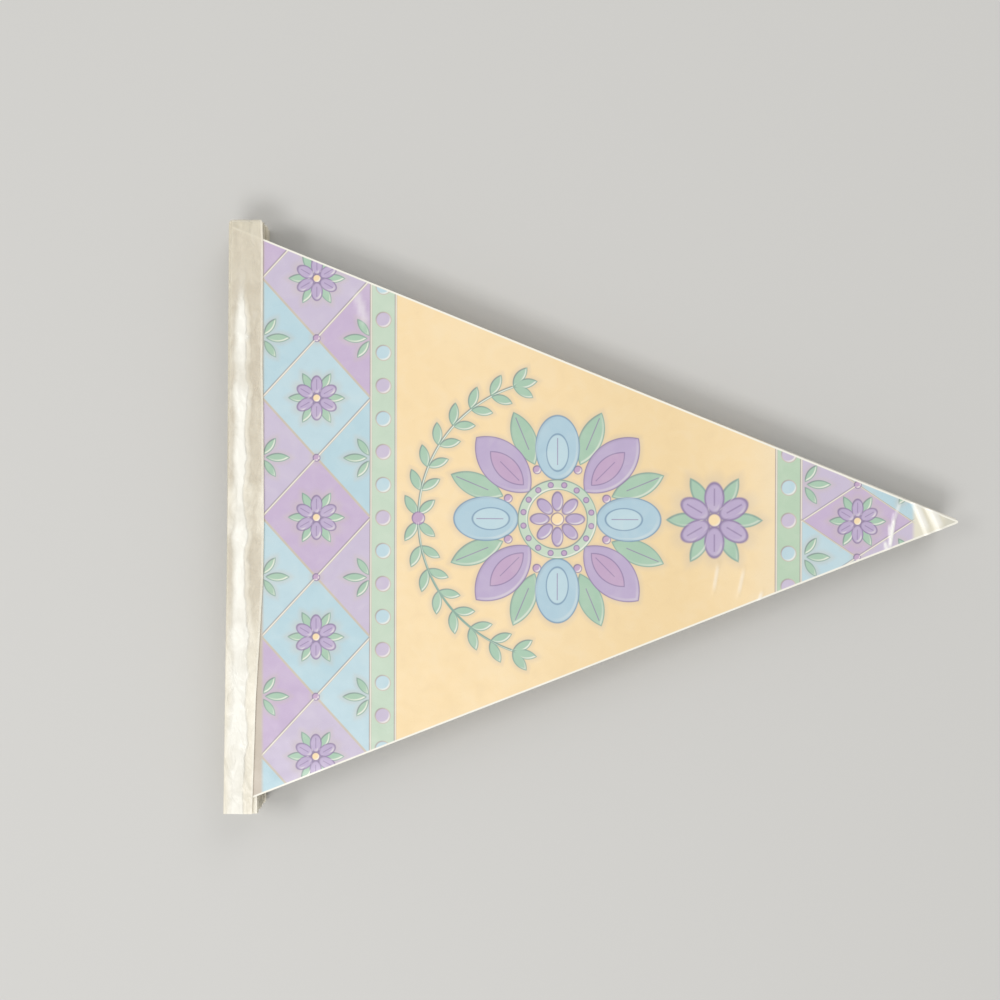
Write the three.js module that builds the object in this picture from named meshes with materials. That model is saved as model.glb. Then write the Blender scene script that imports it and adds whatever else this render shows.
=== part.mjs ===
import * as THREE from 'three';

// A string of printed film pennants on a header tape, folded back and forth into one flat stack.
// Millimetres. X runs from the tape to the tips, Y along the folded tape, Z up.
const PENNANT_LENGTH = 281.1;
const PENNANT_TOP_WIDTH = 224.5;
const TIP_WIDTH = 0.8;
const PENNANT_SPACING = 228.6;
const TAPE_WIDTH = 12;
const SHEET_THICKNESS = 1;
const CLEARANCE = 0.3;
const FOLD_STEPS = 6;

// How each layer lies, from the top one down. Turn is the angle of the pennant's middle line from X and
// slant the angle of its length of tape from Y, both in degrees. Slide is its shift along Y, reach along X.
const LAYERS = [
  { turn: 0, slant: -0.37, slide: 0, reach: 0 },
  { turn: 0.1, slant: 0.05, slide: 0.3, reach: -0.4 },
  { turn: -0.05, slant: -0.1, slide: -0.2, reach: 0.2 },
  { turn: 0.08, slant: 0.2, slide: -0.4, reach: -0.7 },
  { turn: -0.1, slant: -0.15, slide: 0.2, reach: -0.3 },
  { turn: 0.02, slant: -0.1, slide: 0.4, reach: 0.1 },
  { turn: 0.12, slant: 0.2, slide: -0.1, reach: -0.6 },
  { turn: -0.02, slant: 0, slide: -0.3, reach: -0.2 },
  { turn: -0.12, slant: -0.35, slide: 0.1, reach: 0.3 },
  { turn: 0.05, slant: 0.1, slide: 0.4, reach: -0.5 },
  { turn: 0.1, slant: 0.25, slide: -0.3, reach: -0.8 },
  { turn: -0.06, slant: -0.1, slide: 0.2, reach: 0 },
  { turn: 0, slant: -0.05, slide: -0.4, reach: -0.4 },
  { turn: 0.08, slant: 0.15, slide: 0.1, reach: 0.2 },
  { turn: -0.08, slant: -0.2, slide: 0.3, reach: -0.6 },
  { turn: 0.02, slant: 0, slide: -0.1, reach: -0.3 },
];

// Film colours
const filmMaterial = new THREE.MeshStandardMaterial({ color: 0xf4dcae, roughness: 0.3, metalness: 0 });
const tapeMaterial = new THREE.MeshStandardMaterial({ color: 0xe9e2cf, roughness: 0.35, metalness: 0 });

// Height of a layer's underside above the surface that the stack lies on
function layerBase(index) {
  return (LAYERS.length - 1 - index) * (SHEET_THICKNESS + CLEARANCE);
}

// How far the tape's edge moves along X for each millimetre along Y
function edgeSlope(layer) {
  return -Math.tan(THREE.MathUtils.degToRad(layer.slant));
}

// A point of a pennant in plan, given along and across its own middle line
function pennantPoint(layer, along, across) {
  const point = new THREE.Vector2(along, across);
  return point.rotateAround(new THREE.Vector2(0, 0), THREE.MathUtils.degToRad(layer.turn));
}

// Where a slanted side of a pennant, from its top corner to its tip, comes out from under the tape
function headCorner(layer, top, tip) {
  const slope = edgeSlope(layer);
  const side = tip.clone().sub(top);
  const share = (TAPE_WIDTH + CLEARANCE + slope * top.y - top.x) / (side.x - slope * side.y);
  return top.clone().addScaledVector(side, share);
}

// One pennant: a flat triangle of film that starts at the tape's lower edge
function makePennant(layer, index) {
  const halfTop = PENNANT_TOP_WIDTH / 2;
  const halfTip = TIP_WIDTH / 2;
  const upperTip = pennantPoint(layer, PENNANT_LENGTH, halfTip);
  const lowerTip = pennantPoint(layer, PENNANT_LENGTH, -halfTip);
  const upperHead = headCorner(layer, pennantPoint(layer, 0, halfTop), upperTip);
  const lowerHead = headCorner(layer, pennantPoint(layer, 0, -halfTop), lowerTip);
  const outline = new THREE.Shape([lowerHead, lowerTip, upperTip, upperHead]);
  const geometry = new THREE.ExtrudeGeometry(outline, { depth: SHEET_THICKNESS, bevelEnabled: false });
  const pennant = new THREE.Mesh(geometry, filmMaterial);
  pennant.name = `pennant_${String(index + 1).padStart(2, '0')}`;
  pennant.position.set(layer.reach, layer.slide, layerBase(index));
  return pennant;
}

// The tape's middle line from its top free end to its last one. Each station has its place in Y and Z,
// the way the tape's upper side faces there, and how its layer lies, blended from two in a fold.
function tapeStations() {
  const foldRadius = (SHEET_THICKNESS + CLEARANCE) / 2;
  const foldStart = (PENNANT_SPACING - Math.PI * foldRadius) / 2;
  const stations = [];
  LAYERS.forEach((layer, index) => {
    const side = index % 2 === 0 ? 1 : -1;
    const height = layerBase(index) + SHEET_THICKNESS / 2;
    const slope = edgeSlope(layer);
    const below = LAYERS[index + 1];
    if (index === 0 || !below) {
      stations.push({
        y: layer.slide - PENNANT_SPACING / 2,
        z: height,
        slope,
        slide: layer.slide,
        reach: layer.reach,
        facing: new THREE.Vector2(0, side),
      });
    }
    if (!below) {
      return;
    }
    const foldShift = (layer.slide + below.slide) / 2;
    for (let step = 0; step <= FOLD_STEPS; step += 1) {
      const share = step / FOLD_STEPS;
      const outward = new THREE.Vector2(side * Math.sin(Math.PI * share), Math.cos(Math.PI * share));
      stations.push({
        y: side * foldStart + foldShift + foldRadius * outward.x,
        z: height - foldRadius + foldRadius * outward.y,
        slope: THREE.MathUtils.lerp(slope, edgeSlope(below), share),
        slide: THREE.MathUtils.lerp(layer.slide, below.slide, share),
        reach: THREE.MathUtils.lerp(layer.reach, below.reach, share),
        facing: outward.multiplyScalar(side),
      });
    }
  });
  return stations;
}

// The header tape: one long strip, folded once between each pennant and the next
function makeTape() {
  const stations = tapeStations();
  const steps = stations.length - 1;
  const geometry = new THREE.BoxGeometry(steps, TAPE_WIDTH, SHEET_THICKNESS, steps, 1, 1);
  const places = geometry.attributes.position;
  for (let vertex = 0; vertex < places.count; vertex += 1) {
    const station = stations[Math.round(places.getX(vertex) + steps / 2)];
    const across = TAPE_WIDTH / 2 - places.getY(vertex);
    const offset = places.getZ(vertex);
    const y = station.y + offset * station.facing.x;
    const z = station.z + offset * station.facing.y;
    const x = across + station.reach + station.slope * (y - station.slide);
    places.setXYZ(vertex, x, y, z);
  }
  geometry.computeVertexNormals();
  const tape = new THREE.Mesh(geometry, tapeMaterial);
  tape.name = 'header_tape';
  return tape;
}

// The whole banner, with its origin at the bottom centre of its bounding box
const banner = new THREE.Group();
LAYERS.forEach((layer, index) => banner.add(makePennant(layer, index)));
banner.add(makeTape());
const box = new THREE.Box3().setFromObject(banner);
const centre = box.getCenter(new THREE.Vector3());
banner.position.set(-centre.x, -centre.y, -box.min.z);

export default banner;
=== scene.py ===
"""A banner of printed film pennants on a header tape, folded into one flat stack on a pale floor."""
import functools
import math
from collections import namedtuple

import bpy
import numpy as np
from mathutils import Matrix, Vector


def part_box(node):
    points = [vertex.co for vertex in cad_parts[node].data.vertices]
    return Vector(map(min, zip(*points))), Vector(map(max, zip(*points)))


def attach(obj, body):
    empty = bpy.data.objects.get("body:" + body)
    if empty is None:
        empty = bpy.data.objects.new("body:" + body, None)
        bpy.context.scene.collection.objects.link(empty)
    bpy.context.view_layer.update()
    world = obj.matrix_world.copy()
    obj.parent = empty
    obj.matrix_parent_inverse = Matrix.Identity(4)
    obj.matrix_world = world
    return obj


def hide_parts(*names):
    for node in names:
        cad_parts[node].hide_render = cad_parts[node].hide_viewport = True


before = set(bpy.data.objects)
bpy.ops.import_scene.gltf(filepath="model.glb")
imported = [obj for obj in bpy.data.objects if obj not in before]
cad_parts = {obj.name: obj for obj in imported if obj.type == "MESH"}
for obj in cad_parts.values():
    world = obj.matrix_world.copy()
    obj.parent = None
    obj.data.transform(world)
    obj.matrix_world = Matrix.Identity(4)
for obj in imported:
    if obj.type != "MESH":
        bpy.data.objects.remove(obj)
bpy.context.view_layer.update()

MM = 0.001

# The banner's own sizes, in millimetres
PENNANT_LENGTH = 281.1
PENNANT_TOP_WIDTH = 224.5
TIP_WIDTH = 0.8
PENNANT_SPACING = 228.6
TAPE_WIDTH = 12.0
SOLID_THICKNESS = 1.0
LAYER_PITCH = 1.3
FILM_THICKNESS = 0.2
TAPE_THICKNESS = 0.12

# How each layer lies, from the top one down: the angle of the pennant's middle line from X and of its
# length of tape from Y, in degrees, and its shift along Y and along X
Layer = namedtuple("Layer", "turn slant slide reach")
LAYERS = [
    Layer(0, -0.37, 0, 0),
    Layer(0.1, 0.05, 0.3, -0.4),
    Layer(-0.05, -0.1, -0.2, 0.2),
    Layer(0.08, 0.2, -0.4, -0.7),
    Layer(-0.1, -0.15, 0.2, -0.3),
    Layer(0.02, -0.1, 0.4, 0.1),
    Layer(0.12, 0.2, -0.1, -0.6),
    Layer(-0.02, 0, -0.3, -0.2),
    Layer(-0.12, -0.35, 0.1, 0.3),
    Layer(0.05, 0.1, 0.4, -0.5),
    Layer(0.1, 0.25, -0.3, -0.8),
    Layer(-0.06, -0.1, 0.2, 0),
    Layer(0, -0.05, -0.4, -0.4),
    Layer(0.08, 0.15, 0.1, 0.2),
    Layer(-0.08, -0.2, 0.3, -0.6),
    Layer(0.02, 0, -0.1, -0.3),
]
LAST = len(LAYERS) - 1

# Where the middle of the top pennant's head lies in the frame
fold_shifts = [(upper.slide + lower.slide) / 2 for upper, lower in zip(LAYERS, LAYERS[1:])]
HEAD_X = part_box("pennant_01")[1].x / MM - PENNANT_LENGTH
HEAD_Y = -(max(fold_shifts[0::2]) + min(fold_shifts[1::2])) / 2


def layer_height(index):
    """The height of the middle of a layer's solid."""
    return (LAST - index) * LAYER_PITCH + SOLID_THICKNESS / 2


def way_along(index):
    """1 where the tape runs along Y over this layer, and -1 where it runs back."""
    return 1 if index % 2 == 0 else -1


def edge_slope(layer):
    """How far the tape's edge moves along X for each millimetre along Y."""
    return -math.tan(math.radians(layer.slant))


def smooth_step(values, start, end):
    """0 before start, 1 after end, with a soft rise between."""
    share = np.clip((values - start) / (end - start), 0, 1)
    return share * share * (3 - 2 * share)


# Unevenness is a sum of waves: how many, how many of each to a unit, and what brings the sum to about 1
WAVE_COUNT = 4
WAVE_PACES = (0.6, 1.4)
WAVE_GAIN = 1.4


def soft_waves(seed, first, second):
    """Gentle unevenness between about -1 and 1, about one unit long each way."""
    draw = np.random.default_rng(seed)
    total = np.zeros_like(first)
    for _ in range(WAVE_COUNT):
        angle = draw.uniform(0, math.pi)
        pace = 2 * math.pi * draw.uniform(*WAVE_PACES)
        phase = draw.uniform(0, 2 * math.pi)
        total += np.sin(pace * (first * math.cos(angle) + second * math.sin(angle)) + phase)
    return total / WAVE_COUNT * WAVE_GAIN


def beside_line(first, second, start, end):
    """The distance of each point from a short line, and where along it the point lies, from 0 to 1."""
    line = np.subtract(end, start)
    from_start = (first - start[0], second - start[1])
    place = np.clip((from_start[0] * line[0] + from_start[1] * line[1]) / (line @ line), 0, 1)
    return np.hypot(from_start[0] - place * line[0], from_start[1] - place * line[1]), place


# A crease: its start and end, the width of each side, its height, which is below 0 in a trough, and how
# white the film is painted along it, for wear and for a painted glint on the crease
Crease = namedtuple("Crease", "start end width height worn")

# Over these shares of a crease's length and of its width the painted wear and glint fade in
WEAR_AND_GLINT_ENDS = (-0.04, 0.32)
WEAR_AND_GLINT_SIDES = (0.1, 0.75)


def creased(first, second, creases):
    """The height that creases add at each point, and how white the film is painted there, for wear and
    for a painted glint, which fades towards the ends of a crease."""
    height, worn = np.zeros_like(first), np.zeros_like(first)
    for crease in creases:
        distance, place = beside_line(first, second, crease.start, crease.end)
        share = np.clip(1 - distance / crease.width, 0, 1)
        height += crease.height * share
        faded = smooth_step(np.minimum(place, 1 - place), *WEAR_AND_GLINT_ENDS)
        worn = np.maximum(worn, crease.worn * faded * smooth_step(share, *WEAR_AND_GLINT_SIDES))
    return height, worn


# Making sheets

# An angle sharper than this, in degrees, stays an edge
SMOOTH_ANGLE = 50

# Millimetres in one unit of a map
MAP_UNIT = 100


def new_grid(name, steps_first, steps_second):
    """A flat grid, with its corners at -0.5 and 0.5."""
    bpy.ops.object.select_all(action="DESELECT")
    bpy.ops.mesh.primitive_grid_add(x_subdivisions=steps_first, y_subdivisions=steps_second, size=1)
    grid = bpy.context.object
    grid.name = name
    grid.data.name = name
    places = np.empty(len(grid.data.vertices) * 3)
    grid.data.vertices.foreach_get("co", places)
    return grid, places.reshape(-1, 3)


def thicken(sheet, places, thickness):
    """Moves the grid's points to places, in millimetres, and gives it a thickness."""
    sheet.data.vertices.foreach_set("co", (places * MM).ravel())
    sheet.data.update()
    solidify = sheet.modifiers.new("Thickness", "SOLIDIFY")
    solidify.thickness = thickness * MM
    solidify.offset = 0
    bpy.ops.object.modifier_apply(modifier=solidify.name)
    bpy.ops.object.shade_smooth_by_angle(angle=math.radians(SMOOTH_ANGLE))


def write_map(sheet, name, flat):
    """A map that holds each point's place on the flat sheet."""
    corners = np.empty(len(sheet.data.loops), int)
    sheet.data.loops.foreach_get("vertex_index", corners)
    both_sides = np.concatenate([flat, flat]) / MAP_UNIT
    layer = sheet.data.uv_layers.get(name) or sheet.data.uv_layers.new(name=name)
    layer.data.foreach_set("uv", both_sides[corners].ravel())


def write_wear_and_glint(sheet, worn):
    """An attribute that says how white the film is painted at each point, from 0 to 1, for wear and for
    a painted glint along creases. A sheet without it has neither."""
    attribute = sheet.data.attributes.new("worn", "FLOAT", "POINT")
    attribute.data.foreach_set("value", np.concatenate([worn, worn]))


# The pennants

# Creases of the top pennant, their ends along and across it
TOP_CREASES = [
    Crease((264.2, 8.0), (269.8, -4.5), 2.0, 0.85, 0.65),
    Crease((270.4, 5.5), (274.6, -3.0), 2.5, 1.0, 0.65),
    Crease((259.2, 8.6), (255.9, -1.6), 1.1, 0.3, 0.45),
    Crease((256.8, 3.4), (254.8, -12.0), 1.1, 0.62, 1.0),
    Crease((254.7, -0.6), (255.2, -8.0), 0.8, 0.3, 0.7),
    Crease((253.2, -7.5), (253.9, -11.5), 0.9, 0.4, 0.85),
    Crease((189.1, -16.4), (187.3, -28.0), 1.1, 0.3, 0.34),
    Crease((199.1, -18.2), (196.9, -29.0), 1.1, 0.3, 0.32),
    Crease((206.2, -27.0), (203.9, -34.0), 1.1, 0.3, 0.5),
    Crease((48.7, 88.0), (53.4, 73.0), 2.4, 0.46, 0.4),
    Crease((72.0, 62.0), (74.0, 38.0), 3.2, -0.14, 0),
    Crease((20.0, 104.0), (34.0, 94.0), 3.0, -0.3, 0),
    Crease((18.0, -103.0), (40.0, -92.0), 3.4, 0.4, 0),
    Crease((93.0, 28.0), (150.0, 22.0), 11.0, 0.2, 0),
    Crease((110.0, -30.0), (170.0, -18.0), 12.0, -0.2, 0),
]

# Waves: their height, the seed of the first film's, and their size along and across it
Swell = namedtuple("Swell", "height seed length width")
STACK_SWELL = Swell(0.85, 3, 150, 120)
FILM_SWELL = Swell(0.3, 40, 95, 80)
FILM_RIPPLE = Swell(0.1, 70, 38, 46)

# How far a film may lie from the middle of its solid, the share of that where the tape holds it, and
# the places along the film between which that changes
ROOM = 0.42
ROOM_ON_TOP = 1.1
HELD_SHARE = 0.1
HELD_TO = TAPE_WIDTH - 2
FREE_FROM = TAPE_WIDTH + 40

# The top film's own waves are lower, so that its creases show
TOP_WAVE_SHARE = 0.5

# The lowest film lies on the floor. Its waves only rise, with their square over FLOOR_WAVE, and start
# FLOOR_DROP below its solid's middle.
FLOOR_DROP = 0.36
FLOOR_WAVE = 0.4


def swell_height(swell, along, across, number=0):
    """The height of waves on the film of this number, counted from 0."""
    return swell.height * soft_waves(swell.seed + number, along / swell.length, across / swell.width)


def pennant_lift(index, along, across):
    """How far a pennant's film lies above the middle of its solid. The whole stack undulates, more
    towards its top, and each film has waves of its own. The tape holds its head almost flat."""
    stack = swell_height(STACK_SWELL, along, across) * (LAST - index) / LAST
    waves = swell_height(FILM_SWELL, along, across, index)
    waves += swell_height(FILM_RIPPLE, along, across, index)
    if index == 0:
        waves = TOP_WAVE_SHARE * waves + creased(along, across, TOP_CREASES)[0]
    if index == LAST:
        waves = waves**2 / FLOOR_WAVE - FLOOR_DROP
    highest = ROOM_ON_TOP if index == 0 else ROOM
    free = smooth_step(along, HELD_TO, FREE_FROM)
    return (np.clip(waves, -ROOM, highest) + stack) * (HELD_SHARE + (1 - HELD_SHARE) * free)


# The steps of a pennant's grid along and across it. Its rows lie closer from FINE_FROM to the tip, where
# most of the creases are, and the rows before that are COARSE_SHARE of them all.
TOP_GRID = (340, 100)
LOWER_GRID = (80, 48)
FINE_FROM = 176.0
COARSE_SHARE = 0.36

# How far a pennant's head stays inside the tape's top fold, and the length of film that gives way for it
HEAD_TUCK = 0.6
TUCK_END = 30.0


def make_pennant(index):
    """One film pennant. It runs on between the two sides of the tape to its head."""
    layer = LAYERS[index]
    steps = TOP_GRID if index == 0 else LOWER_GRID
    film, places = new_grid(f"film_{index + 1:02d}", *steps)
    along = np.interp(places[:, 0] + 0.5, [0, COARSE_SHARE, 1], [0, FINE_FROM, PENNANT_LENGTH])
    turn = math.radians(layer.turn)
    head = HEAD_TUCK + places[:, 1] * PENNANT_TOP_WIDTH * (edge_slope(layer) + math.sin(turn))
    along = along + head * np.clip(1 - along / TUCK_END, 0, 1)
    width = PENNANT_TOP_WIDTH + (TIP_WIDTH - PENNANT_TOP_WIDTH) * along / PENNANT_LENGTH
    across = places[:, 1] * width
    places[:, 0] = along * math.cos(turn) - across * math.sin(turn) + layer.reach + HEAD_X
    places[:, 1] = along * math.sin(turn) + across * math.cos(turn) + layer.slide + HEAD_Y
    places[:, 2] = layer_height(index) + pennant_lift(index, along, across)
    faces = len(film.data.polygons)
    thicken(film, places, FILM_THICKNESS)
    face_up = way_along(index) > 0
    write_map(film, "print", np.stack([along, across if face_up else -across], 1))
    if index == 0:
        # The top film's creases whiten it, partly wear and partly a painted glint
        write_wear_and_glint(film, creased(along, across, TOP_CREASES)[1])
    plain = np.ones(len(film.data.polygons), int)
    printed_from = 0 if face_up else faces
    plain[printed_from : printed_from + faces] = 0
    film.data.materials.append(printed_film)
    film.data.materials.append(plain_film)
    film.data.polygons.foreach_set("material_index", plain)
    return film


# The header tape

# How far each leaf of the folded tape lies from its middle, and how wide it is flat
TAPE_OFFSET = 0.42
LEAF_WIDTH = TAPE_WIDTH - TAPE_OFFSET

# The least gap between the tape and the floor
FLOOR_GAP = 0.02

# The middle of each fold between two lengths of tape
FOLD_RADIUS = LAYER_PITCH / 2
FOLD_START = (PENNANT_SPACING - math.pi * FOLD_RADIUS) / 2

# Steps along the first length of tape, each other length and each fold, and across a leaf and its bend
TOP_RUN_STEPS = 300
RUN_STEPS = 48
FOLD_STEPS = 10
LEAF_STEPS = 15
BEND_STEPS = 6

# Creases of the tape's open side over the top pennant, their ends along it from its free end and down
# from its top fold
TAPE_CREASES = [
    Crease((191.6, 4.9), (195.2, 6.8), 1.2, 0.24, 0.4),
    Crease((191.6, 4.9), (188.2, 6.9), 1.2, 0.24, 0.4),
    Crease((190.2, 9.8), (193.8, 9.6), 1.3, 0.16, 0.25),
    Crease((185.0, 4.2), (182.2, 7.4), 2.4, 0.4, 1.0),
    Crease((180.0, 5.2), (171.0, 6.6), 1.2, 0.26, 0.35),
    Crease((160.4, 6.4), (156.6, 8.8), 1.3, 0.26, 0.5),
    Crease((143.8, 5.0), (142.4, 7.8), 1.0, 0.26, 0.3),
    Crease((129.4, 6.3), (125.4, 9.2), 1.1, 0.26, 0.3),
    Crease((120.6, 5.6), (117.6, 9.8), 1.1, 0.18, 0.2),
    Crease((98.8, 5.8), (95.4, 10.0), 0.9, 0.26, 0.3),
    Crease((74.0, 5.4), (66.0, 8.0), 1.2, 0.2, 0.2),
    Crease((44.0, 4.8), (40.6, 8.8), 1.1, 0.24, 0.2),
    Crease((17.0, 6.4), (9.0, 10.0), 1.0, 0.26, 0.2),
    Crease((7.5, 5.0), (4.5, 9.0), 1.0, 0.22, 0.2),
]

# The strip is not folded quite along its middle. This is how far down it puts the front leaf's lower
# edge, at places along the first length, and how much that edge wanders along the other lengths.
FRONT_EDGE = [(0, -0.9), (45, 0), (67, 1.1), (90, 2.1), (110, 2.2), (153, 1.4), (172, 0.8), (229, 0.3)]
INNER_WANDER = 0.3
INNER_WANDER_LENGTH = 70

# Between these places along the strip the first length's edge gives way to the others'
INNER_FROM = (PENNANT_SPACING - 12, PENNANT_SPACING + 3)

# A place on the tape's middle line, the way that the tape faces there, how its layer lies, and its
# distance along the strip
Station = namedtuple("Station", "y z face_y face_z slope slide reach along")


def run_stations(index):
    """The straight length of tape over one pennant."""
    layer = LAYERS[index]
    side = way_along(index)
    free_end = layer.slide - PENNANT_SPACING / 2
    shift_before = (layer.slide + LAYERS[max(index - 1, 0)].slide) / 2
    shift_after = (layer.slide + LAYERS[min(index + 1, LAST)].slide) / 2
    start = free_end if index == 0 else -side * FOLD_START + shift_before
    end = free_end if index == LAST else side * FOLD_START + shift_after
    steps = TOP_RUN_STEPS if index == 0 else RUN_STEPS
    height, slope = layer_height(index), edge_slope(layer)
    stations = []
    for step in range(steps + 1):
        y = start + (end - start) * step / steps
        along = index * PENNANT_SPACING + side * (y - layer.slide) + PENNANT_SPACING / 2
        stations.append(Station(y, height, 0, side, slope, layer.slide, layer.reach, along))
    return stations


def fold_stations(index):
    """The fold from one length of tape to the one below it."""
    layer, below = LAYERS[index], LAYERS[index + 1]
    side = way_along(index)
    middle = side * FOLD_START + (layer.slide + below.slide) / 2
    slope = edge_slope(layer)
    stations = []
    for step in range(1, FOLD_STEPS):
        share = step / FOLD_STEPS
        out_y, out_z = side * math.sin(math.pi * share), math.cos(math.pi * share)
        stations.append(
            Station(
                middle + FOLD_RADIUS * out_y,
                layer_height(index) - FOLD_RADIUS + FOLD_RADIUS * out_z,
                side * out_y,
                side * out_z,
                slope + (edge_slope(below) - slope) * share,
                layer.slide + (below.slide - layer.slide) * share,
                layer.reach + (below.reach - layer.reach) * share,
                (index + 1) * PENNANT_SPACING + (share - 0.5) * math.pi * FOLD_RADIUS,
            )
        )
    return stations


def tape_stations():
    """The tape's middle line from its top free end to its last one."""
    stations = run_stations(0)
    for index in range(1, len(LAYERS)):
        stations += fold_stations(index - 1) + run_stations(index)
    return np.array(stations)


def tape_section():
    """The folded tape's section, from its front lower edge round its top fold to its back lower edge:
    place across the tape and off its middle, the way it faces there, and the length of film so far."""
    bend = math.pi * TAPE_OFFSET
    leaf_places = [LEAF_WIDTH * step / LEAF_STEPS for step in range(LEAF_STEPS + 1)]
    front = [(TAPE_WIDTH - place, TAPE_OFFSET, 0, 1, place) for place in leaf_places]
    round_bend = []
    for step in range(1, BEND_STEPS):
        angle = math.pi * (0.5 + step / BEND_STEPS)
        face_x, face_n = math.cos(angle), math.sin(angle)
        place = (TAPE_OFFSET * (1 + face_x), TAPE_OFFSET * face_n)
        round_bend.append((*place, face_x, face_n, LEAF_WIDTH + bend * step / BEND_STEPS))
    back = [(TAPE_OFFSET + place, -TAPE_OFFSET, 0, -1, LEAF_WIDTH + bend + place) for place in leaf_places]
    return np.array(front + round_bend + back)


def tape_wander(along):
    """How far down the strip's fold puts the front leaf's lower edge. The back leaf's is as much higher."""
    open_run = np.interp(along, *zip(*FRONT_EDGE))
    inner_runs = INNER_WANDER * soft_waves(15, along / INNER_WANDER_LENGTH, along * 0)
    share = smooth_step(along, *INNER_FROM)
    return open_run + (inner_runs - open_run) * share


# The soft ridge along each leaf: its distance below the top fold, how far and over what length it
# wanders, its size, and the length over which it rises and fades
RIDGE_MIDDLE = 6.3
RIDGE_SWING = 1.3
RIDGE_SWING_LENGTH = 60
RIDGE_HALF = 1.2
RIDGE_HEIGHT = 0.1
RIDGE_FADE_LENGTH = 30

# The other puckers of each leaf, their sizes along and across it, and the lip along its lower edge
COCKLE_HEIGHT = 0.035
COCKLE_SIZE = (16, 7)
FINE_HEIGHT = 0.012
FINE_SIZE = (6, 9)
LIP_HEIGHT = 0.06
LIP_WIDTH = 0.5

# The back leaf's waves are taken from another place, so that they are not the front leaf's
BACK_LEAF_SHIFT = 57.0

# How far along the strip the tape lies open, over the top pennant, how much looser it is there, and how
# deep its puckers may be there
OPEN_END = PENNANT_SPACING * 0.97
LOOSE_GAIN = 2.6
DEEPEST_PUCKER = -0.11


def tape_puckers(along, down, above_edge, front):
    """Soft puckers of the tape, off its own surface, and how white it is painted, for wear and for a
    painted glint along its creases. Down is the distance below its top fold."""
    other_leaf = np.where(front, 0.0, BACK_LEAF_SHIFT)
    open_air = front & (along < OPEN_END)
    swing = soft_waves(5, along / RIDGE_SWING_LENGTH + other_leaf, along * 0)
    ridge_line = RIDGE_MIDDLE + RIDGE_SWING * swing
    ridge = np.exp(-(((down - ridge_line) / RIDGE_HALF) ** 2))
    ridge *= 0.5 + 0.5 * soft_waves(6, along / RIDGE_FADE_LENGTH + other_leaf, along * 0)
    cockle = soft_waves(8, along / COCKLE_SIZE[0] + other_leaf, down / COCKLE_SIZE[1])
    fine = soft_waves(9, along / FINE_SIZE[0], down / FINE_SIZE[1] + other_leaf)
    lip = np.exp(-((above_edge / LIP_WIDTH) ** 2))
    puckers = RIDGE_HEIGHT * ridge + COCKLE_HEIGHT * cockle + FINE_HEIGHT * fine + LIP_HEIGHT * lip
    creases, worn = creased(along, down, TAPE_CREASES)
    loose = np.maximum(LOOSE_GAIN * puckers + creases, DEEPEST_PUCKER)
    return np.where(open_air, loose, puckers), np.where(open_air, worn, 0)


def make_tape():
    """The header tape: one strip of film, folded over the pennants' heads and then back and forth."""
    stations, section = tape_stations(), tape_section()
    tape, places = new_grid("tape_film", len(stations) - 1, len(section) - 1)
    station = stations[np.round((places[:, 0] + 0.5) * (len(stations) - 1)).astype(int)].T
    row = section[np.round((places[:, 1] + 0.5) * (len(section) - 1)).astype(int)].T
    y, z, face_y, face_z, slope, slide, reach, along = station
    across, off, row_x, row_n, travelled = row
    share_down = np.maximum(across - TAPE_OFFSET, 0) / LEAF_WIDTH
    down = across + share_down * np.sign(off) * tape_wander(along)
    pucker, worn = tape_puckers(along, down, TAPE_WIDTH - across, off > 0)
    pucker *= np.abs(row_n)
    x = down + pucker * row_x
    lift = off + pucker * row_n
    places[:, 1] = y + face_y * lift
    places[:, 0] = x + reach + slope * (places[:, 1] - slide) + HEAD_X
    places[:, 1] += HEAD_Y
    places[:, 2] = np.maximum(z + face_z * lift, TAPE_THICKNESS / 2 + FLOOR_GAP)
    thicken(tape, places, TAPE_THICKNESS)
    write_map(tape, "film", np.stack([along, travelled], 1))
    write_wear_and_glint(tape, worn)
    tape.data.materials.append(tape_film)
    return tape


# Materials


class Value:
    """A socket of a material. A sum or a product of it adds the Math node that it needs."""

    def __init__(self, shader, socket):
        self.shader = shader
        self.socket = socket

    def __add__(self, other):
        return self.shader.math("ADD", self, other)

    def __radd__(self, other):
        return self.shader.math("ADD", other, self)

    def __sub__(self, other):
        return self.shader.math("SUBTRACT", self, other)

    def __rsub__(self, other):
        return self.shader.math("SUBTRACT", other, self)

    def __mul__(self, other):
        return self.shader.math("MULTIPLY", self, other)

    def __rmul__(self, other):
        return self.shader.math("MULTIPLY", other, self)

    def __truediv__(self, other):
        return self.shader.math("DIVIDE", self, other)

    def __gt__(self, other):
        return self.shader.math("GREATER_THAN", self, other)

    def __abs__(self):
        return self.shader.math("ABSOLUTE", self)

    def __floor__(self):
        return self.shader.math("FLOOR", self)

    def at_most(self, other):
        """The smaller of the two."""
        return self.shader.math("MINIMUM", self, other)

    def at_least(self, other):
        """The larger of the two."""
        return self.shader.math("MAXIMUM", self, other)

    def wrapped(self, half):
        """Repeats the values from -half to half."""
        return self.shader.math("WRAP", self, half, -half)


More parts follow.
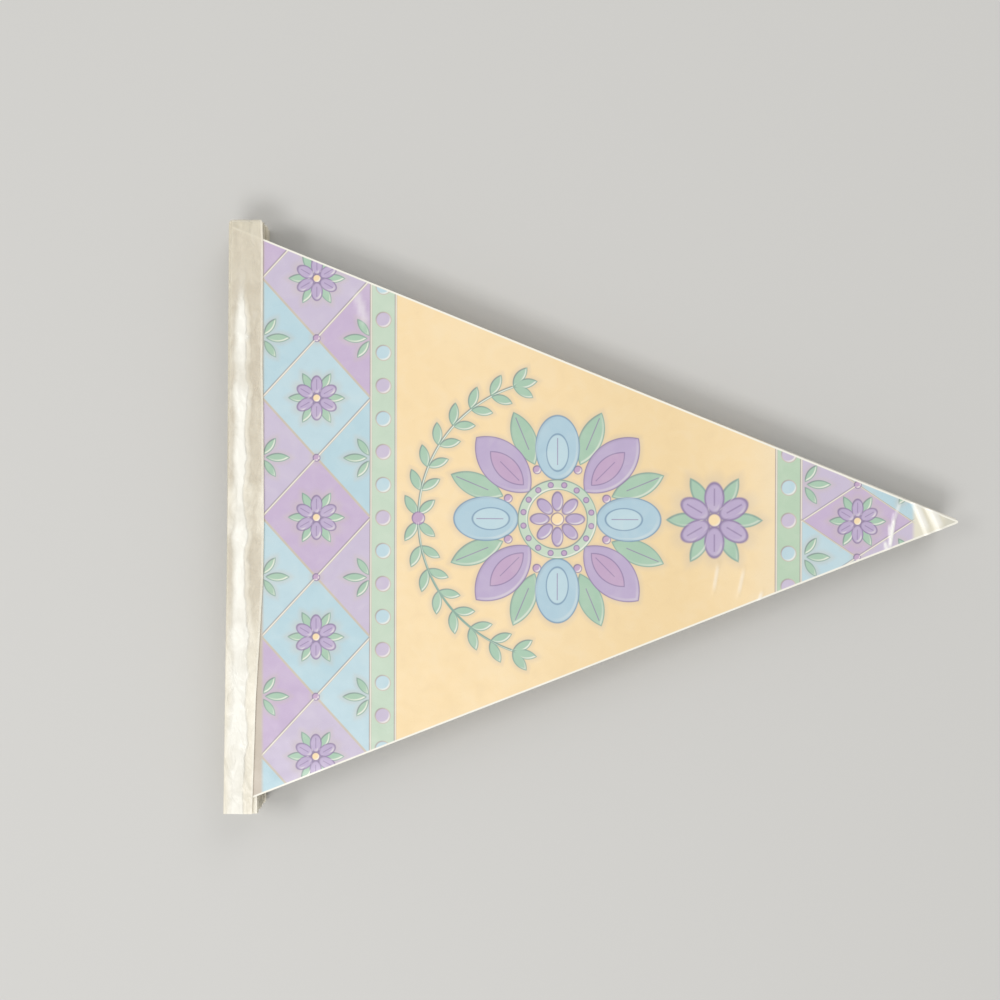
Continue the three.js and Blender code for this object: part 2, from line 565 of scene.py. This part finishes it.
class Shader:
    """A material, and the one method that adds any node to it."""

    def __init__(self, name):
        self.material = bpy.data.materials.new(name)
        self.material.use_nodes = True
        self.tree = self.material.node_tree
        self.tree.nodes.clear()

    def node(self, kind, settings=None, values=None, output=0):
        """Adds a node: its settings first, then the values or links of its sockets."""
        node = self.tree.nodes.new("ShaderNode" + kind)
        for name, setting in (settings or {}).items():
            if name == "stops":
                self.set_stops(node.color_ramp, setting)
            else:
                setattr(node, name, setting)
        for name, value in (values or {}).items():
            if isinstance(value, Value):
                self.tree.links.new(value.socket, node.inputs[name])
            else:
                node.inputs[name].default_value = value
        return Value(self, node.outputs[output]) if node.outputs else node

    @staticmethod
    def set_stops(ramp, stops):
        """Gives a colour ramp its stops, each a place and a colour, with no blend between them."""
        ramp.interpolation = "CONSTANT"
        while len(ramp.elements) < len(stops):
            ramp.elements.new(1)
        for element, (place, colour) in zip(ramp.elements, stops):
            element.position = place
            element.color = colour

    def math(self, operation, *values, clamp=False):
        """A number worked out from others."""
        settings = {"operation": operation, "use_clamp": clamp}
        return self.node("Math", settings, dict(enumerate(values)))

    def vector(self, operation, *values):
        """A vector's sum, product and so on, or its length or distance, which are numbers."""
        output = 1 if operation in ("LENGTH", "DISTANCE") else 0
        return self.node("VectorMath", {"operation": operation}, dict(enumerate(values)), output)

    def blend(self, share, first, second):
        """Blends two colours."""
        return self.node("Mix", {"data_type": "RGBA"}, {0: share, 6: first, 7: second}, output=2)

    def between(self, share, first, second):
        """Blends two numbers."""
        return self.node("Mix", None, {0: share, 2: first, 3: second})

    def rise(self, value, start, end, low=0.0, high=1.0):
        """Goes softly from low at start to high at end."""
        settings = {"interpolation_type": "SMOOTHSTEP"}
        return self.node("MapRange", settings, {0: value, 1: start, 2: end, 3: low, 4: high})

    def fill(self, distance, soft=0.3):
        """1 inside a shape, 0 outside it."""
        return self.math("MULTIPLY_ADD", distance, -1 / soft, 0.5, clamp=True)

    def point(self, first, second):
        """A place, from its two numbers."""
        return self.node("CombineXYZ", None, {0: first, 1: second})

    def split(self, place):
        """The first and second numbers of a vector."""
        parts = self.node("SeparateXYZ", None, {0: place})
        return parts, Value(self, parts.socket.node.outputs[1])

    def noise(self, place, size, detail=2.0, distortion=0.0):
        """Noise from 0 to 1, with lumps about so many millimetres across."""
        values = {"Vector": place, "Scale": 1 / size, "Detail": detail, "Distortion": distortion}
        return self.node("TexNoise", None, values)

    def flat_place(self, name):
        """The place on the flat film, in millimetres."""
        return self.vector("MULTIPLY", self.node("UVMap", {"uv_map": name}), (MAP_UNIT, MAP_UNIT, 0))

    def worn(self):
        """How white the film is painted, from 0 to 1, for wear and for a painted glint along creases."""
        return self.node("Attribute", {"attribute_name": "worn"}, output=2)

    def bump(self, height, depth):
        """Turns a height from 0 to 1 into a relief so many millimetres deep."""
        return self.node("Bump", None, {"Height": height, "Distance": depth * MM, "Strength": 1.0})

    def finish(self, **sockets):
        """Ends the material in one plastic surface."""
        values = {name.replace("_", " "): value for name, value in sockets.items()}
        surface = self.node("BsdfPrincipled", None, values)
        self.node("OutputMaterial", None, {"Surface": surface})
        return self.material


def linear(channel):
    """The strength of light that a screen value from 0 to 1 stands for."""
    return channel / 12.92 if channel < 0.04045 else ((channel + 0.055) / 1.055) ** 2.4


def ink(red, green, blue):
    """A colour from its screen values, 0 to 255."""
    return (linear(red / 255), linear(green / 255), linear(blue / 255), 1.0)


# The print: a generic ornament in the colours and at the scale of the real one. Places are in
# millimetres from the middle of the pennant's head, along it and across it. The bands come first, from
# the head to the tip.
BORDER_END = 13.7
LATTICE_MIDDLE = 34.2
LATTICE_HALF = 21.0
LATTICE_STEP = 46.0
ROW_MIDDLE = 59.95
ROW_HALF = 4.8
ROW_STEP = 12.7
FIELD_MIDDLE = 137.9
FIELD_HALF = 73.2
LOWER_ROW_SHIFT = 156.2
LOWER_LATTICE_SHIFT = 208.4
LOWER_LATTICE_STEP = 28.0
TIP_START = 264.3
# Between these places the very tip darkens: a painted shade, for the side of its last crease that faces
# away from the light
PAINTED_TIP_SHADE_SPAN = (PENNANT_LENGTH - 6.5, PENNANT_LENGTH - 4)

# Past this place the row and the lattice are the lower ones
LOWER_FROM = 140.0

# The ornament: lines between the panes, roundels, fans of leaves, large and small flower, and wreath
LEAD_HALF = 0.42
ROUNDEL_RADIUS = 3.1
FAN_TURN = -0.95
ROSETTE_MIDDLE = (127.0, 0.0, 0.0)
SMALL_ROSETTE_MIDDLE = (187.5, 0.0, 0.0)
SMALL_ROSETTE_SIZE = 1.7
LAUREL_RADIUS = 53.5
LAUREL_LEAF_TURN = -0.72

# How the print lies askew, the white margin along the slanting sides, and the shift between the two
# copies of the ornament whose difference is its drawn light and shade
PRINT_SLANT = 0.0045
MARGIN = 0.7
EMBOSS_SHIFT = (0.32, -0.36, 0.0)

# Added to a distance, this puts a shape out of sight
FAR = 9

# Inks and film colours
LILAC = ink(203, 192, 213)
SKY = ink(192, 216, 224)
DEEP_LILAC = ink(200, 181, 209)
PALE_SKY = ink(186, 213, 222)
PALE_GREEN = ink(198, 216, 196)
LOWER_GREEN = ink(187, 210, 185)
BORDER = ink(201, 190, 175)
APRICOT = ink(247, 220, 173)
LIGHT_APRICOT = ink(248, 223, 179)
DEEP_APRICOT = ink(240, 213, 164)
PALE_APRICOT = ink(240, 226, 198)
GOLD_LEAD = ink(224, 203, 164)
GREY_LEAD = ink(203, 192, 178)
LEAF = ink(170, 201, 178)
LEAF_RIM = ink(140, 172, 158)
PETAL = ink(190, 174, 205)
PETAL_RIM = ink(148, 130, 166)
BLUE_PETAL = ink(178, 205, 218)
BLUE_RIM = ink(128, 156, 180)
ROSE = ink(196, 168, 198)
CREAM = ink(230, 225, 206)
# Cream with a painted shade, for the very tip
PAINTED_SHADE_CREAM = ink(213, 210, 195)
FILM_WHITE = ink(247, 244, 232)
# White of film along creases: wear of the ink, and a painted glint
WEAR_AND_GLINT_WHITE = ink(253, 252, 247)
SHADE = ink(128, 120, 132)
BACK_WHITE = ink(238, 233, 222)
LIGHT_BACK_WHITE = ink(245, 242, 234)
FIELD_BEHIND = ink(246, 229, 198)

# A shape of the print: its name, the distance outside it, and the width of its drawn bevel
Shape = namedtuple("Shape", "name distance bevel")

# The drawn bevel starts this far outside a shape
BEVEL_START = 0.05

# The lines and the roundels lie flat in the ground, so no shade is drawn round them
FLAT_SHAPES = ("lead", "roundel")


def ellipse(shader, place, middle, half_length, half_width):
    """The distance outside an ellipse, roughly. It is below 0 inside."""
    stretch = (1 / half_length, 1 / half_width, 0)
    shift = (-middle / half_length, 0, 0)
    reach = shader.vector("LENGTH", shader.vector("MULTIPLY_ADD", place, stretch, shift))
    return (reach - 1) * half_width


def disc(shader, place, middle, radius):
    """The distance outside a circle."""
    return shader.vector("DISTANCE", place, (*middle, 0)) - radius


def leaf(shader, place, middle, half_length, half_width):
    """The distance outside a pointed leaf, which is the overlap of two circles."""
    bulge = (half_length**2 - half_width**2) / (2 * half_width)
    folded = shader.vector("ABSOLUTE", shader.vector("SUBTRACT", place, (middle, 0, 0)))
    return shader.vector("DISTANCE", folded, (0, -bulge, 0)) - (bulge + half_width)


def turned(shader, place, angle):
    """The place, turned about the origin."""
    return shader.node("VectorRotate", {"rotation_type": "Z_AXIS"}, {"Vector": place, "Angle": angle})


def spokes(shader, radius, angle, count, turn=0.0):
    """The place in one of count equal spokes, whose middle lies along the first axis."""
    half = math.pi / count
    folded = (angle + turn).wrapped(half) if turn else angle.wrapped(half)
    return shader.point(radius * shader.math("COSINE", folded), radius * shader.math("SINE", folded))


def polar(shader, place):
    """The radius and the angle of a place."""
    first, second = shader.split(place)
    return shader.vector("LENGTH", place), shader.math("ARCTAN2", second, first)


Layout = namedtuple("Layout", "u v row_place lattice_u lattice_step in_field")


def lay_out(shader, place):
    """Where a place lies in the rows, the lattices and the field."""
    u, v = shader.split(place)
    lower = u > LOWER_FROM
    row_u = u - (lower * LOWER_ROW_SHIFT + ROW_MIDDLE)
    row_place = shader.point(row_u, v.wrapped(ROW_STEP / 2))
    lattice_u = u - (lower * LOWER_LATTICE_SHIFT + LATTICE_MIDDLE)
    lattice_step = lower * (LOWER_LATTICE_STEP - LATTICE_STEP) + LATTICE_STEP
    in_field = FIELD_HALF - abs(u - FIELD_MIDDLE) > 0
    return Layout(u, v, row_place, lattice_u, lattice_step, in_field)


def lattice_cells(layout):
    """The place in the lattice, counted in cells along its two slanting directions."""
    along = layout.lattice_u * (0.5 / LATTICE_HALF)
    across = layout.v / layout.lattice_step
    return along + across + 0.5, along - across + 0.5


def leads(shader, layout):
    """The distance from the middle of the nearest line between two panes."""
    first, second = lattice_cells(layout)
    nearest = abs(first.wrapped(0.5)).at_most(abs(second.wrapped(0.5)))
    slanting = nearest / math.hypot(0.5 / LATTICE_HALF, 1 / LATTICE_STEP) + layout.in_field * FAR
    row_u, _ = shader.split(layout.row_place)
    in_row = ROW_HALF - abs(row_u)
    return (slanting + (in_row > 0) * FAR).at_most(abs(in_row))


def lattice_fans(shader, layout):
    """Fans of three leaves in the lattices' half panes, and a bead where four panes meet."""
    across = (layout.v / layout.lattice_step + 0.5).wrapped(0.5) * layout.lattice_step
    inward = LATTICE_HALF - abs(layout.lattice_u)
    outside = layout.in_field * FAR
    slanted = turned(shader, shader.point(inward, abs(across)), FAN_TURN)
    middle_leaf = leaf(shader, shader.point(inward - 1.4, across), 4.7, 4.7, 1.7)
    side_leaf = leaf(shader, slanted, 5.2, 4.0, 1.5)
    bead = disc(shader, shader.point(layout.lattice_u, across), (0, 0), 1.5)
    return [
        Shape("leaf", middle_leaf.at_most(side_leaf) + outside, 0.8),
        Shape("bead", bead + outside, 0.8),
    ]


def small_figure(shader, place, layout):
    """A flower of six petals with six leaves, in each pane of the lattices and in the field."""
    in_pane = shader.point(layout.lattice_u, layout.v.wrapped(LATTICE_STEP / 2))
    in_field = shader.vector("SUBTRACT", place, SMALL_ROSETTE_MIDDLE)
    in_field = shader.vector("MULTIPLY", in_field, (1 / SMALL_ROSETTE_SIZE, 1 / SMALL_ROSETTE_SIZE, 0))
    values = {0: layout.in_field, 4: in_pane, 5: in_field}
    here = shader.node("Mix", {"data_type": "VECTOR"}, values, output=1)
    radius, angle = polar(shader, here)
    upright = spokes(shader, radius, angle, 6, math.pi / 6)
    slanted = spokes(shader, radius, angle, 6)
    return [
        Shape("leaf", leaf(shader, slanted, 6.4, 4.6, 1.7), 0.8),
        Shape("petal", ellipse(shader, upright, 5.0, 3.7, 2.3), 1.0),
        Shape("vein", abs(shader.split(upright)[1]).at_least(abs(radius - 5.2) - 1.8) - 0.12, 0.4),
        Shape("heart", radius - 1.7, 0.7),
    ]


def rosette(shader, radius, angle):
    """The large flower. Eight petals of two kinds lie round a beaded ring and a smaller flower, with
    leaves between them. Also gives 1 where the petals are of the pointed kind."""
    pointed = 0 - shader.math("COSINE", angle * 4) > 0
    upright = spokes(shader, radius, angle, 8)
    slanted = spokes(shader, radius, angle, 8, math.pi / 8)
    off_middle = abs(shader.split(upright)[1])
    outer_round = ellipse(shader, upright, 27.5, 12.6, 8.6)
    outer_pointed = leaf(shader, upright, 29.5, 14.8, 8.2)
    inner_round = ellipse(shader, upright, 25.6, 7.4, 4.4)
    inner_pointed = leaf(shader, upright, 27.5, 9.2, 4.1)
    bead_place = shader.point(shader.split(upright)[0], off_middle)
    return pointed, [
        Shape("leaf", leaf(shader, slanted, 33.5, 11.0, 4.6), 1.2),
        Shape("vein", abs(shader.split(slanted)[1]).at_least(abs(radius - 35.5) - 6.5) - 0.15, 0.5),
        Shape("berry", disc(shader, slanted, (20.5, 0), 1.7), 0.8),
        Shape("large_petal", shader.between(pointed, outer_round, outer_pointed), 1.6),
        Shape("inner_petal", shader.between(pointed, inner_round, inner_pointed), 1.0),
        Shape("vein", off_middle.at_least(abs(radius - 26) - 5) - 0.14, 0.5),
        Shape("ring", abs(radius - 13.3) - 2.0, 0.8),
        Shape("bead", disc(shader, bead_place, (13.05, 2.6), 1.2), 0.7),
        Shape("small_petal", ellipse(shader, upright, 6.8, 3.9, 2.3), 0.9),
        Shape("heart", radius - 2.6, 1.0),
    ]


# Angles of the wreath: from one pair of leaves to the next, and from the tip side of the rosette to the
# last pair and to the stem's end
LAUREL_STEP = math.radians(10)
LAST_PAIR = math.radians(100)
STEM_END = math.radians(108.6)


def laurel(shader, place, radius, angle):
    """A wreath round the head side of the rosette: a stem with pairs of leaves and a leaf at each end."""
    side = abs(angle)
    off = radius - LAUREL_RADIUS
    beyond_middle = (side - LAUREL_STEP / 2).wrapped(LAUREL_STEP / 2)
    beside = shader.point(3.4 - beyond_middle * LAUREL_RADIUS, abs(off))
    pair = leaf(shader, turned(shader, beside, LAUREL_LEAF_TURN), 4.5, 4.5, 1.9)
    pair = pair.at_least((LAST_PAIR - side + beyond_middle) * LAUREL_RADIUS)
    end = (STEM_END - side) * LAUREL_RADIUS
    end_leaf = leaf(shader, shader.point(end, off), 4.8, 4.8, 1.9)
    return [
        Shape("stem", (abs(off) - 0.45).at_least(end), 0.5),
        Shape("leaf", pair.at_most(end_leaf), 0.8),
        Shape("berry", disc(shader, place, (-LAUREL_RADIUS, 0), 2.6), 1.0),
    ]


def design(shader, place):
    """All the shapes of the print, the lowest first, with how the place lies among them."""
    layout = lay_out(shader, place)
    from_rosette = shader.vector("SUBTRACT", place, ROSETTE_MIDDLE)
    radius, angle = polar(shader, from_rosette)
    pointed, rosette_shapes = rosette(shader, radius, angle)
    shapes = [
        Shape("lead", leads(shader, layout) - LEAD_HALF, 0.5),
        Shape("roundel", shader.vector("LENGTH", layout.row_place) - ROUNDEL_RADIUS, 0.9),
        *lattice_fans(shader, layout),
        *laurel(shader, from_rosette, radius, angle),
        *rosette_shapes,
        *small_figure(shader, place, layout),
    ]
    return layout, pointed, shapes


def relief(shader, shapes):
    """The height of the drawn ornament, from 0 to 1."""
    heights = [shader.rise(shape.distance, BEVEL_START, -shape.bevel) for shape in shapes]
    return functools.reduce(Value.at_least, heights)


def film_relief(shader, flat):
    """The film's faint cockling and its fine grain."""
    grain = shader.noise(flat, 1.1, 3)
    return shader.bump(shader.noise(flat, 16, 2) + grain * 0.02, 0.5)


def field_ground(shader, flat, u):
    """The apricot field: cloudy, deeper on its tip side and paler at its very end."""
    clouds = shader.noise(flat, 46, 3, 0.4)
    apricot = shader.blend(shader.rise(clouds, 0.35, 0.68), APRICOT, LIGHT_APRICOT)
    deep = shader.rise(u + clouds * 60, 130, 200) * shader.rise(u, 210, 170)
    apricot = shader.blend(deep * 0.7, apricot, DEEP_APRICOT)
    return shader.blend(shader.rise(u, 197, 212, 0, 0.4), apricot, PALE_APRICOT)


def printed_ground(shader, flat, layout):
    """The panes, the green rows and the field, without the ornament."""
    u, _ = shader.split(flat)
    first, second = lattice_cells(layout)
    tone = (math.floor(first) + math.floor(second) * 2).wrapped(2) * 0.25 + 0.5
    stops = [(0.0, LILAC), (0.2, SKY), (0.45, DEEP_LILAC), (0.7, PALE_SKY)]
    panes = shader.node("ValToRGB", {"stops": stops}, {0: tone})
    row_u, _ = shader.split(layout.row_place)
    green = shader.blend(u > FIELD_MIDDLE, PALE_GREEN, LOWER_GREEN)
    ground = shader.blend(shader.fill(abs(row_u) - ROW_HALF), panes, green)
    return shader.blend(layout.in_field, ground, field_ground(shader, flat, u))


def ornament_inks(shader, layout, pointed):
    """The inks of each kind of shape: its body and its rim."""
    odd_roundel = (layout.v / (2 * ROW_STEP) + 0.25).wrapped(0.5) > 0
    petal_rim = shader.blend(pointed, BLUE_RIM, PETAL_RIM)
    return {
        "lead": (shader.blend(layout.in_field, GREY_LEAD, GOLD_LEAD), GREY_LEAD),
        "roundel": (shader.blend(odd_roundel, SKY, LILAC), GREY_LEAD),
        "leaf": (LEAF, LEAF_RIM),
        "vein": (PETAL_RIM, PETAL_RIM),
        "stem": (LEAF_RIM, LEAF_RIM),
        "berry": (ROSE, PETAL_RIM),
        "bead": (ROSE, PETAL_RIM),
        "large_petal": (shader.blend(pointed, BLUE_PETAL, PETAL), petal_rim),
        "inner_petal": (shader.blend(pointed, SKY, ROSE), petal_rim),
        "ring": (PALE_GREEN, LEAF_RIM),
        "small_petal": (PETAL, PETAL_RIM),
        "petal": (PETAL, PETAL_RIM),
        "heart": (LIGHT_APRICOT, PETAL_RIM),
    }


def printed_ornament(shader, colour, shapes, inks):
    """Prints the shapes, from the lowest to the highest, with soft shade round them."""
    raised = [shape.distance for shape in shapes if shape.name not in FLAT_SHAPES]
    nearest = functools.reduce(Value.at_most, raised)
    colour = shader.blend(shader.rise(nearest, 2.4, -0.2, 0, 0.36), colour, GREY_LEAD)
    for shape in shapes:
        body, rim = inks[shape.name]
        edged = shader.blend(shader.rise(shape.distance, -0.6, -0.15), body, rim)
        colour = shader.blend(shader.fill(shape.distance), colour, edged)
    return colour


def bare_film(shader, colour, u, v, layout):
    """The border at the head, which the tape hides in part, and then the film without ink: at the tip,
    with a painted shade at its very end, along the two slanting sides, and along creases, whose white is
    partly wear of the ink and partly a painted glint."""
    colour = shader.blend(shader.rise(layout.u, BORDER_END + 0.8, BORDER_END - 0.8), colour, BORDER)
    # A painted shade darkens the cream at the very tip
    painted_tip_shade = shader.rise(layout.u, *PAINTED_TIP_SHADE_SPAN)
    bare = shader.blend(painted_tip_shade, CREAM, PAINTED_SHADE_CREAM)
    colour = shader.blend(shader.rise(layout.u, TIP_START - 1.3, TIP_START + 0.8), colour, bare)
    half_width = u * ((TIP_WIDTH - PENNANT_TOP_WIDTH) / 2 / PENNANT_LENGTH) + PENNANT_TOP_WIDTH / 2
    colour = shader.blend(shader.fill(half_width - abs(v) - MARGIN), colour, FILM_WHITE)
    # Creases whiten the film: wear of the ink, and a painted glint along them
    return shader.blend(shader.worn(), colour, WEAR_AND_GLINT_WHITE)


def make_printed_film():
    """White film printed in pale tints, with an ornament drawn as if it were embossed."""
    shader = Shader("Printed film")
    flat = shader.flat_place("print")
    u, v = shader.split(flat)
    place = shader.point(u + v * PRINT_SLANT, v)
    layout, pointed, shapes = design(shader, place)
    shifted = shader.vector("ADD", place, EMBOSS_SHIFT)
    emboss = relief(shader, shapes) - relief(shader, design(shader, shifted)[2])
    colour = printed_ground(shader, flat, layout)
    colour = printed_ornament(shader, colour, shapes, ornament_inks(shader, layout, pointed))

    # Highlights and shades of the drawn relief, then the mottling of the ink
    colour = shader.blend(shader.rise(emboss, 0.05, 0.9, 0, 0.85), colour, FILM_WHITE)
    colour = shader.blend(shader.rise(emboss, -0.05, -0.9, 0, 0.5), colour, SHADE)
    mottle = shader.noise(flat, 7, 4, 0.6)
    colour = shader.blend(shader.rise(mottle, 0.42, 0.75, 0, 0.07), colour, FILM_WHITE)
    colour = shader.blend(shader.rise(mottle, 0.5, 0.2, 0, 0.04), colour, SHADE)
    colour = bare_film(shader, colour, u, v, layout)
    gloss = shader.rise(shader.noise(flat, 9, 3), 0.3, 0.7, 0.23, 0.32)
    return shader.finish(Base_Color=colour, Roughness=gloss, Normal=film_relief(shader, flat))


def make_plain_film():
    """The unprinted back of the film, through which the print shows faintly."""
    shader = Shader("Plain film")
    flat = shader.flat_place("print")
    u, v = shader.split(flat)
    cloud = shader.noise(flat, 30, 3)
    colour = shader.blend(cloud, BACK_WHITE, LIGHT_BACK_WHITE)
    in_field = shader.fill(abs(u + v * PRINT_SLANT - FIELD_MIDDLE) - FIELD_HALF, 1.5)
    colour = shader.blend(in_field * 0.5, colour, FIELD_BEHIND)
    gloss = shader.rise(cloud, 0.3, 0.7, 0.3, 0.42)
    return shader.finish(Base_Color=colour, Roughness=gloss, Normal=film_relief(shader, flat))


# A creamy stretch of the tape, along it from its free end
CREAMY_MIDDLE = 117.0
CREAMY_HALF = 10.0

# How far down the tape its white lower edge starts and is full
EDGE_BEAD = (11.3, 11.6)

# Where the top fold's middle lies on the flat strip, across it
TOP_FOLD_MIDDLE = TAPE_WIDTH + 0.25

# The film where it is clearest, milky and whitest. The milky tone also carries a painted sheen, and the
# white a painted glare on the crumpled band
TAPE_CLEAR = ink(243, 235, 214)
TAPE_MILK_AND_SHEEN = ink(254, 248, 232)
TAPE_WHITE = ink(255, 253, 244)
TAPE_ROUGHNESS = 0.32


def make_tape_film():
    """Milky film, half clear. It is whitest at its lower edges and along a crumpled band beside its
    top fold, whose white is partly the crumpled film and partly a painted glare, and it is whiter
    towards its free ends, a painted sheen mixed into its milkiness."""
    shader = Shader("Tape film")
    flat = shader.flat_place("film")
    along, travelled = shader.split(flat)
    down = abs(travelled - TOP_FOLD_MIDDLE)
    swing = shader.math("COSINE", along * (math.pi / PENNANT_SPACING))
    free_end = shader.rise(swing, 0.25, 0.8)
    wander = shader.noise(shader.point(along, travelled * 0.05), 19, 3)
    crumple = shader.noise(shader.vector("MULTIPLY", flat, (0.55, 1, 0)), 4.6, 3, 0.8)
    cloud = shader.noise(flat, 26, 3)

    # The crumpled white band, partly white film and partly a painted glare on its puckers, with a softer
    # skirt below it, fades towards the folds between pennants
    upper_side = shader.rise(down + wander * 4 + crumple * 1.5, 2.8, 6.8)
    beyond = down - (wander * 6.5 + crumple * 0.8 + free_end * 2.4 + 2.6)
    core = shader.rise(beyond, 0.5, -0.5) * upper_side
    skirt = shader.rise(beyond - free_end * 1.6, 3.3, 0.2) * upper_side
    faded = shader.rise(swing, -0.99, -0.88) * shader.rise(cloud, 0.3, 0.5, 0.7, 1)
    core = (core * faded).at_least(shader.worn())
    skirt = skirt * faded

    # The milky film round it, with a painted sheen towards the free ends, the band's white with its painted
    # glare, and the lower edge
    creamy = shader.rise(abs(along - CREAMY_MIDDLE), CREAMY_HALF + 3, CREAMY_HALF - 4)
    milk_and_sheen = free_end * 0.42 + creamy * crumple * 0.5
    milk_and_sheen = milk_and_sheen + shader.rise(crumple + cloud * 0.6, 0.5, 1.1, 0.28, 0.5)
    bead = shader.rise(down, *EDGE_BEAD)
    alpha = milk_and_sheen.at_least(core * 0.92).at_least(skirt * 0.75).at_least(bead * 0.6)
    colour = shader.blend(milk_and_sheen.at_least(skirt), TAPE_CLEAR, TAPE_MILK_AND_SHEEN)
    colour = shader.blend((core * 0.9).at_least(bead * 0.3), colour, TAPE_WHITE)
    grain = shader.noise(flat, 1.2, 3)
    normal = shader.bump(crumple + wander * 0.3 + core * 0.3 + grain * 0.04, 0.8)
    return shader.finish(Base_Color=colour, Roughness=TAPE_ROUGHNESS, Alpha=alpha, Normal=normal)


printed_film = make_printed_film()
plain_film = make_plain_film()
tape_film = make_tape_film()

# The pieces, put together

films = [make_pennant(index) for index in range(len(LAYERS))]
tape = make_tape()

for index, film in enumerate(films):
    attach(film, "root")
    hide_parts(f"pennant_{index + 1:02d}")
    [films[index + 1]] if index < LAST else []
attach(tape, "root")
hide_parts("header_tape")

# Floor, light and camera

# The floor, in metres, and the even light from all round
FLOOR_SIZE = 30
FLOOR_COLOUR = ink(206, 205, 202)
FLOOR_ROUGHNESS = 0.7
WORLD_COLOUR = (1.0, 0.995, 0.98, 1)
WORLD_STRENGTH = 0.52

# Soft boxes that face the origin: their places and sizes in metres, and their power in watts
SoftBox = namedtuple("SoftBox", "name place size power")
SOFT_BOXES = [
    SoftBox("key", (-0.4, -0.85, 1.5), (0.9, 0.5), 10.6),
    SoftBox("side", (-1.1, 0.1, 1.4), (0.6, 0.3), 5),
    SoftBox("fill", (0.5, 1.1, 1.2), (0.9, 0.9), 4.6),
]


def make_floor():
    """A plain pale floor."""
    bpy.ops.object.select_all(action="DESELECT")
    bpy.ops.mesh.primitive_plane_add(size=FLOOR_SIZE, location=(0, 0, 0))
    floor = bpy.context.object
    floor.name = "floor"
    shader = Shader("Pale floor")
    floor.data.materials.append(shader.finish(Base_Color=FLOOR_COLOUR, Roughness=FLOOR_ROUGHNESS))


def make_light():
    """Plain soft studio light: an even world and three soft boxes."""
    world = bpy.data.worlds.new("Studio")
    bpy.context.scene.world = world
    world.use_nodes = True
    background = world.node_tree.nodes["Background"]
    background.inputs["Color"].default_value = WORLD_COLOUR
    background.inputs["Strength"].default_value = WORLD_STRENGTH
    for box in SOFT_BOXES:
        data = bpy.data.lights.new(box.name, "AREA")
        data.shape = "RECTANGLE"
        data.size, data.size_y = box.size
        data.energy = box.power
        light = bpy.data.objects.new(box.name, data)
        bpy.context.collection.objects.link(light)
        light.location = box.place
        light.rotation_euler = (-Vector(box.place)).to_track_quat("-Z", "Y").to_euler()


# The photograph: where it shows the top pennant's head and tip, and where its own middle is, in pixels,
# and the millimetres in a pixel there
PHOTO_HEAD = (227.5, 516.8)
PHOTO_TIP = (957.6, 521.9)
PHOTO_MIDDLE = 500.0
PHOTO_SCALE = 0.385

# The camera's height over the top pennant and its sensor, in millimetres, and its range in metres
CAMERA_DISTANCE = 480.0
SENSOR_WIDTH = 36.0
CAMERA_RANGE = (0.01, 20)


def make_camera():
    """Looks straight down on the top pennant, as the photograph does."""
    head, tip = Vector(PHOTO_HEAD), Vector(PHOTO_TIP)
    axis = (tip - head).normalized()
    middle = Vector((PHOTO_MIDDLE, PHOTO_MIDDLE)) - head
    along = middle.dot(axis) * PHOTO_SCALE
    across = (middle.x * axis.y - middle.y * axis.x) * PHOTO_SCALE
    data = bpy.data.cameras.new("camera")
    data.sensor_width = SENSOR_WIDTH
    data.lens = SENSOR_WIDTH * CAMERA_DISTANCE / (2 * PHOTO_MIDDLE * PHOTO_SCALE)
    data.clip_start, data.clip_end = CAMERA_RANGE
    camera = bpy.data.objects.new("camera", data)
    bpy.context.collection.objects.link(camera)
    bpy.context.scene.camera = camera
    height = layer_height(0) + CAMERA_DISTANCE
    camera.location = Vector((HEAD_X + along, HEAD_Y + across, height)) * MM
    camera.rotation_euler = (0, 0, math.atan2(axis.y, axis.x))


make_floor()
make_light()
make_camera()

scene = bpy.context.scene
scene.view_settings.view_transform = "Standard"
